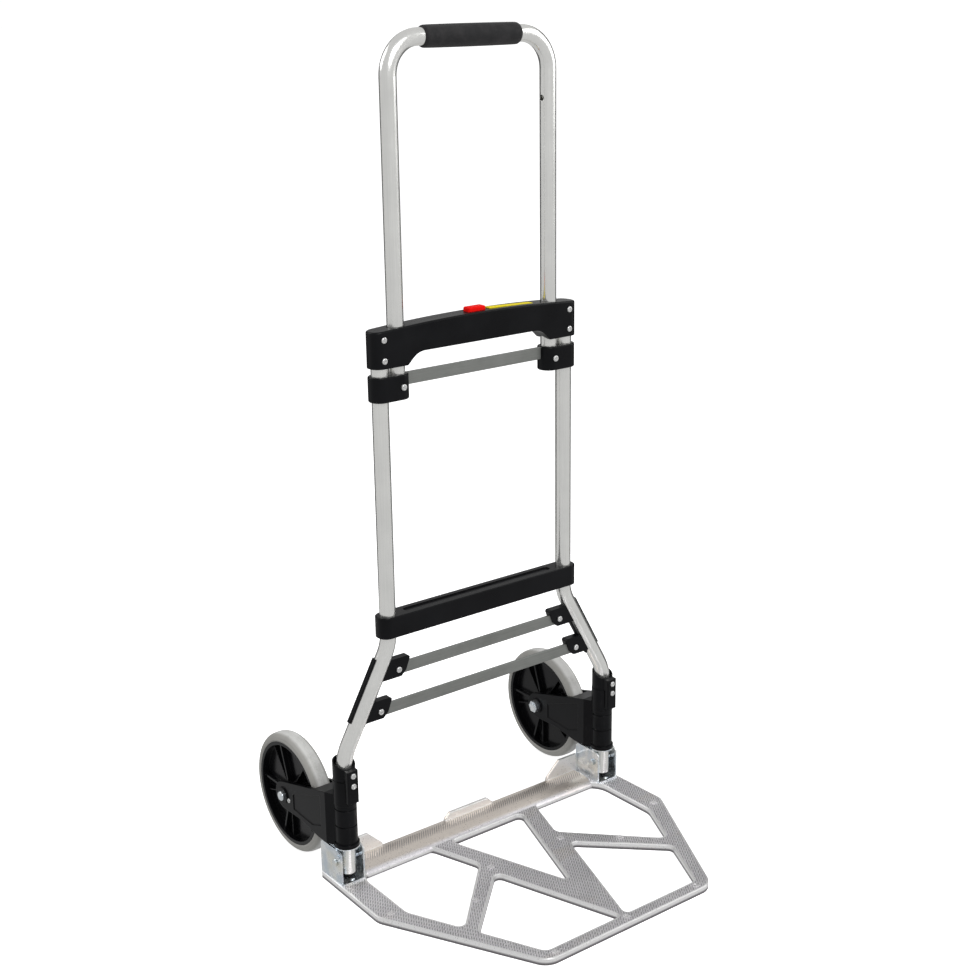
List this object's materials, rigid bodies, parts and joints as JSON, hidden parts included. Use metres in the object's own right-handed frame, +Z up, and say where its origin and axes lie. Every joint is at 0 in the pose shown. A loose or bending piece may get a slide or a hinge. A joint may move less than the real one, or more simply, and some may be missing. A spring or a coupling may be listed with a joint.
{
  "type": "folding hand truck",
  "caption": "Folding aluminium hand truck with a telescopic loop handle, fold-in wheels and a hinged open-frame toe plate.",
  "frame": {"origin": "on the floor, midway between the two frame tubes and in their plane", "axes": "+Z up along the frame tubes, -Y forward over the toe plate (the load side), +Y back towards the wheels, +X to the right seen from the load side"},
  "size_m": [0.513, 0.5377, 1.1232],
  "materials": {
    "aluminium_tube": "satin anodised, silver",
    "aluminium_bar": "matte extruded, grey",
    "cast_plate": "die cast, finely ribbed top",
    "zinc_plated_steel": "bright zinc plated",
    "bright_screw_steel": "bright steel",
    "black_plastic": "moulded, fine texture",
    "gloss_black_plastic": "moulded, smooth",
    "bush_plastic": "plain bearing plastic",
    "red_plastic": "moulded, glossy red",
    "yellow_label": "printed film",
    "foam": "soft closed-cell foam",
    "tyre_rubber": "solid grey rubber"
  },
  "bodies": {
    "frame": {"left_frame_tube": "aluminium_tube", "right_frame_tube": "aluminium_tube", "tube_foot_plugs": "black_plastic", "crosshead_front_shell": "black_plastic", "crosshead_rear_shell": "black_plastic", "crosshead_screws": "bright_screw_steel", "leg_guide_bushes": "black_plastic", "label_strip": "yellow_label", "button_spring": "bright_screw_steel", "lower_crossbar": "black_plastic", "crossbar_screws": "bright_screw_steel", "upper_brace_bar": "aluminium_bar", "lower_brace_bar": "aluminium_bar", "left_brace_bracket": "black_plastic", "right_brace_bracket": "black_plastic", "brace_screws": "bright_screw_steel", "left_collar": "black_plastic", "right_collar": "black_plastic", "collar_screws": "bright_screw_steel", "hinge_pins": "zinc_plated_steel", "thrust_washers": "zinc_plated_steel"},
    "handle": {"handle_tube": "aluminium_tube", "foam_grip": "foam", "left_clamp": "black_plastic", "right_clamp": "black_plastic", "clamp_bar": "aluminium_bar", "clamp_screws": "bright_screw_steel", "leg_end_plugs": "black_plastic"},
    "button": {"release_button": "red_plastic", "button_cam_pins": "bright_screw_steel"},
    "left_lock": {"left_lock_bolt": "bright_screw_steel"},
    "right_lock": {"right_lock_bolt": "bright_screw_steel"},
    "toe_plate": {"nose_plate": "cast_plate", "left_hinge_bracket": "zinc_plated_steel", "right_hinge_bracket": "zinc_plated_steel", "hinge_bushes": "bush_plastic", "bracket_rivets": "zinc_plated_steel"},
    "left_wheel_fork": {"left_fork": "black_plastic", "left_axle_bolt": "zinc_plated_steel", "left_axle_nut": "zinc_plated_steel", "left_arm_screw": "bright_screw_steel"},
    "right_wheel_fork": {"right_fork": "black_plastic", "right_axle_bolt": "zinc_plated_steel", "right_axle_nut": "zinc_plated_steel", "right_arm_screw": "bright_screw_steel"},
    "left_wheel": {"left_tyre": "tyre_rubber", "left_wheel_hub": "gloss_black_plastic", "left_wheel_bushes": "bush_plastic"},
    "right_wheel": {"right_tyre": "tyre_rubber", "right_wheel_hub": "gloss_black_plastic", "right_wheel_bushes": "bush_plastic"}
  },
  "joints": [
    {"name": "handle_slide", "type": "slide", "parent": "frame", "child": "handle", "axis": [0, 0, -1], "range_m": [0, 0.288]},
    {"name": "button_press", "type": "slide", "parent": "frame", "child": "button", "axis": [0, 0, -1], "range_m": [0, 0.005], "stiffness_N_per_m": 700, "springref_m": -0.004, "deforming": ["button_spring"]},
    {"name": "left_lock_slide", "type": "slide", "parent": "frame", "child": "left_lock", "axis": [1, 0, 0], "range_m": [0, 0.005]},
    {"name": "right_lock_slide", "type": "slide", "parent": "frame", "child": "right_lock", "axis": [-1, 0, 0], "range_m": [0, 0.005]},
    {"name": "plate_fold", "type": "hinge", "parent": "frame", "child": "toe_plate", "pos_m": [0, 0, 0.04], "axis": [-1, 0, 0], "range_deg": [0, 90]},
    {"name": "left_fork_fold", "type": "hinge", "parent": "frame", "child": "left_wheel_fork", "pos_m": [-0.23, 0, 0.115], "axis": [0, 0, -1], "range_deg": [0, 90]},
    {"name": "right_fork_fold", "type": "hinge", "parent": "frame", "child": "right_wheel_fork", "pos_m": [0.23, 0, 0.115], "axis": [0, 0, 1], "range_deg": [0, 90]},
    {"name": "left_wheel_spin", "type": "hinge", "parent": "left_wheel_fork", "child": "left_wheel", "pos_m": [-0.23, 0.1307, 0.087], "axis": [1, 0, 0], "continuous": true},
    {"name": "right_wheel_spin", "type": "hinge", "parent": "right_wheel_fork", "child": "right_wheel", "pos_m": [0.23, 0.1307, 0.087], "axis": [1, 0, 0], "continuous": true}
  ],
  "couplings": [
    {"joint": "left_lock_slide", "follows": "button_press", "ratio": 1},
    {"joint": "right_lock_slide", "follows": "button_press", "ratio": 1},
    {"joint": "left_fork_fold", "follows": "plate_fold", "ratio": 1},
    {"joint": "right_fork_fold", "follows": "plate_fold", "ratio": 1}
  ]
}
